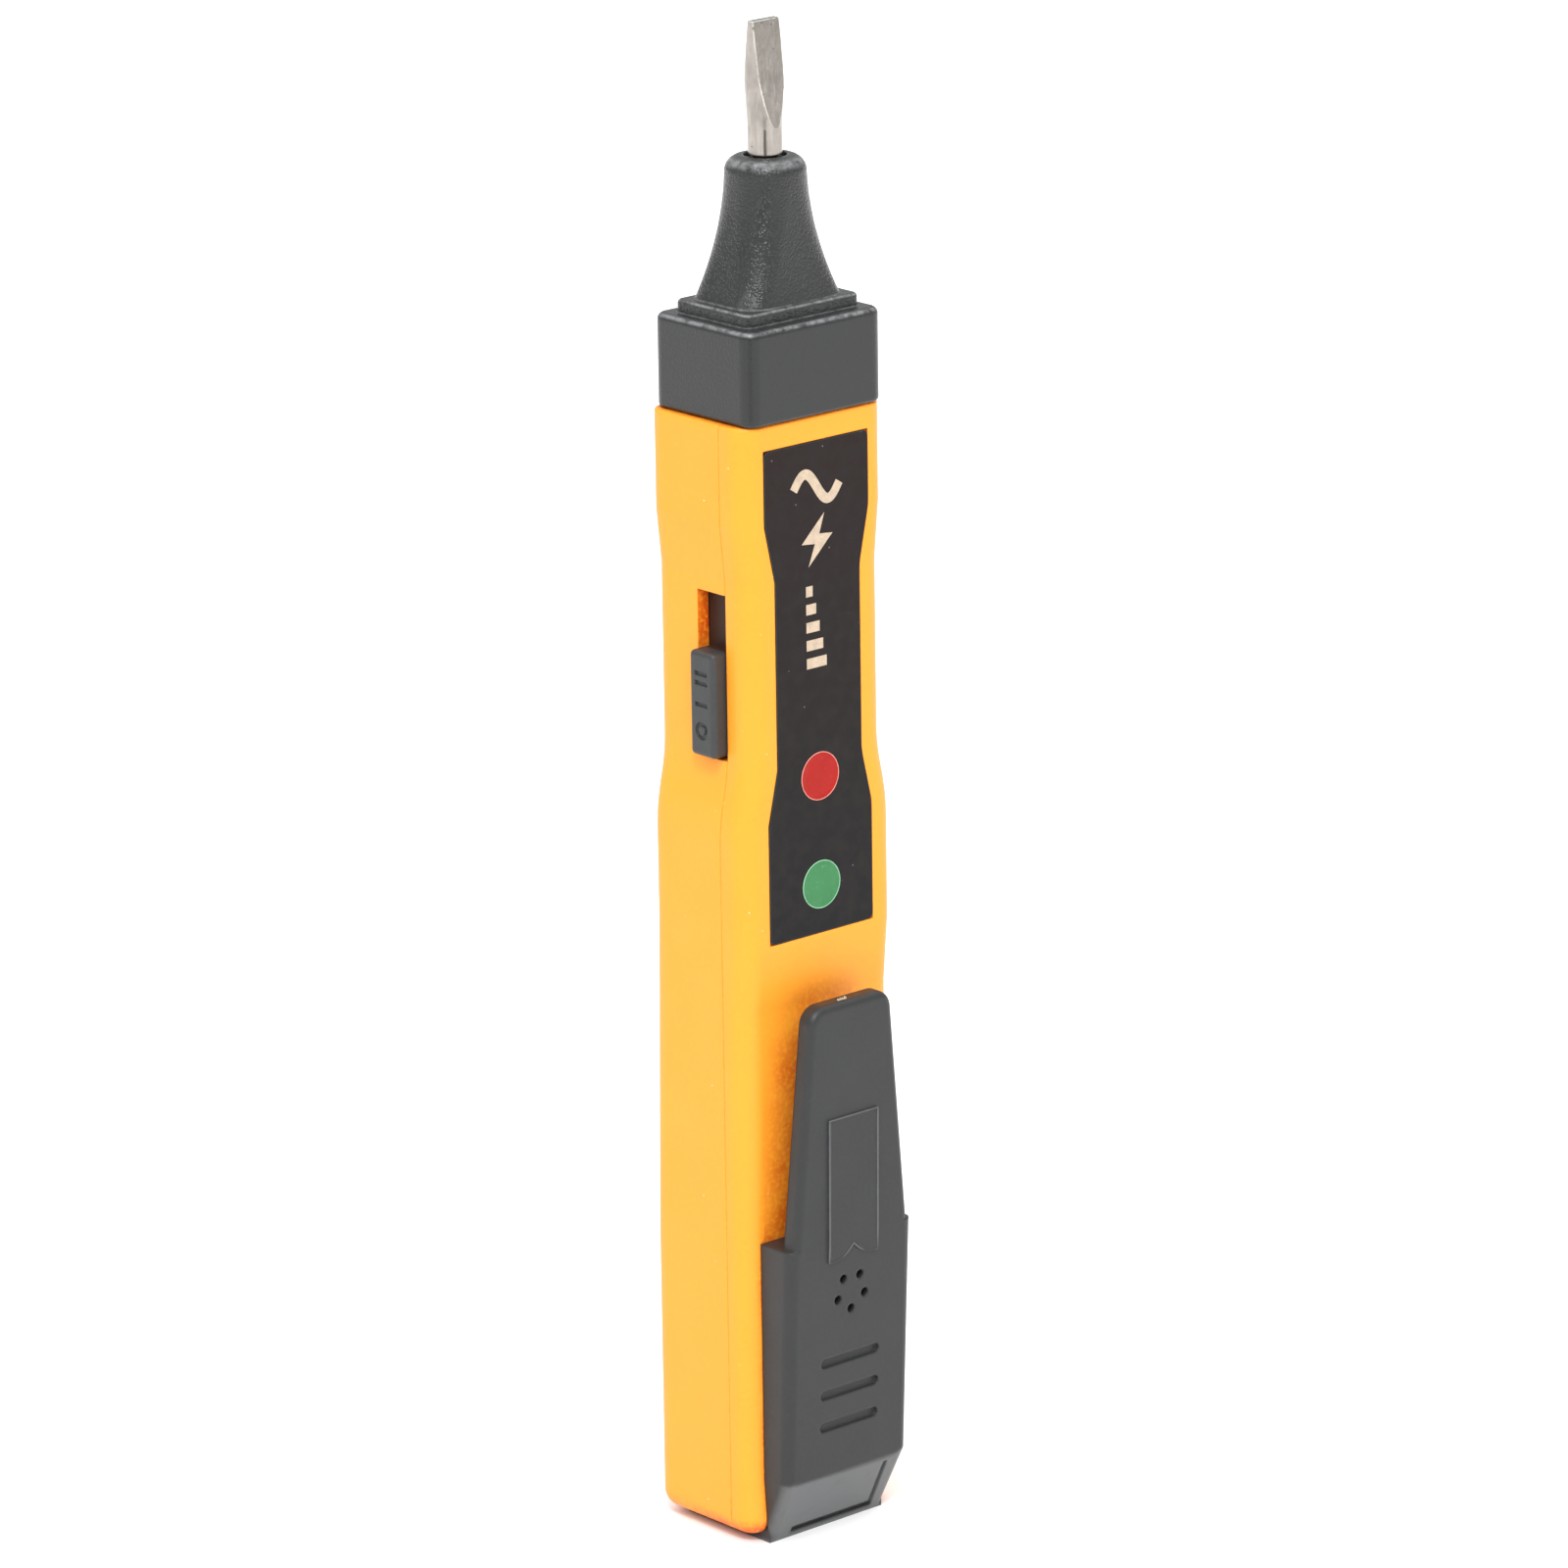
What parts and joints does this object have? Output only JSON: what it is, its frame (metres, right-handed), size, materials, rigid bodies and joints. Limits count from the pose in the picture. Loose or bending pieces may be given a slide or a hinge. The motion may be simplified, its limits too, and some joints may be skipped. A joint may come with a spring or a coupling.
{
  "type": "non-contact voltage tester",
  "caption": "Pen-shaped non-contact voltage tester with a flat screwdriver blade, side slide switch, red and green lights, sounder, and a battery door with a pocket clip.",
  "frame": {"origin": "on the blade's axis at the flat end of the tail", "axes": "+Z from the tail to the blade tip, -Y out of the front with the label and the clip, -X out of the side with the slide switch"},
  "size_m": [0.0214, 0.0204, 0.16],
  "materials": {
    "yellow_plastic": "smooth satin moulded, warm yellow",
    "grey_plastic": "fine spark texture, dark grey",
    "door_plastic": "smooth satin, dark grey",
    "blade_steel": "satin nickel plate",
    "label_film": "printed film, brown-black",
    "red_lens": "translucent red",
    "green_lens": "translucent green",
    "led_resin": "white package with clear resin",
    "board_resin": "glass-epoxy with green solder mask",
    "chip_resin": "black moulded package",
    "capacitor_ceramic": "tan ceramic",
    "screw_steel": "zinc plated",
    "contact_nickel": "nickel-plated spring strip",
    "switch_can": "tinned steel",
    "lever_plastic": "black nylon",
    "cell_jacket": "printed foil jacket, plain blue and silver",
    "disc_brass": "rolled brass",
    "disc_ceramic": "silvered ceramic",
    "lead_red": "wire insulation",
    "lead_black": "wire insulation"
  },
  "bodies": {
    "case": {"front_shell": "yellow_plastic", "rear_shell": "yellow_plastic", "nose_boot": "grey_plastic", "blade": "blade_steel", "blade_spring": "contact_nickel", "spring_seat": "contact_nickel", "label_plate": "label_film", "red_lens": "red_lens", "green_lens": "green_lens", "red_led": "led_resin", "green_led": "led_resin", "circuit_board": "board_resin", "board_screws": "screw_steel", "control_chip": "chip_resin", "transistor": "chip_resin", "resistors": "chip_resin", "capacitors": "capacitor_ceramic", "switch_body": "switch_can", "battery": "cell_jacket", "positive_contact": "contact_nickel", "contact_strip": "contact_nickel", "ground_lead": "lead_black", "sounder_disc": "disc_brass", "sounder_ceramic": "disc_ceramic", "sounder_leads": "lead_red"},
    "switch": {"switch_knob": "door_plastic", "switch_lever": "lever_plastic"},
    "door": {"battery_door": "door_plastic", "tail_contact": "contact_nickel", "battery_spring": "contact_nickel"},
    "clip": {"clip_arm": "door_plastic"}
  },
  "joints": [
    {"name": "switch_slide", "type": "slide", "parent": "case", "child": "switch", "axis": [0, 0, 1], "range_m": [0, 0.0056]},
    {"name": "door_slide", "type": "slide", "parent": "case", "child": "door", "axis": [0, 0, -1], "range_m": [0, 0.038]},
    {"name": "clip_flex", "type": "hinge", "parent": "door", "child": "clip", "pos_m": [0, -0.0112, 0.03343], "axis": [1, 0, 0], "range_deg": [0, 5], "stiffness_Nm_per_rad": 0.6}
  ]
}
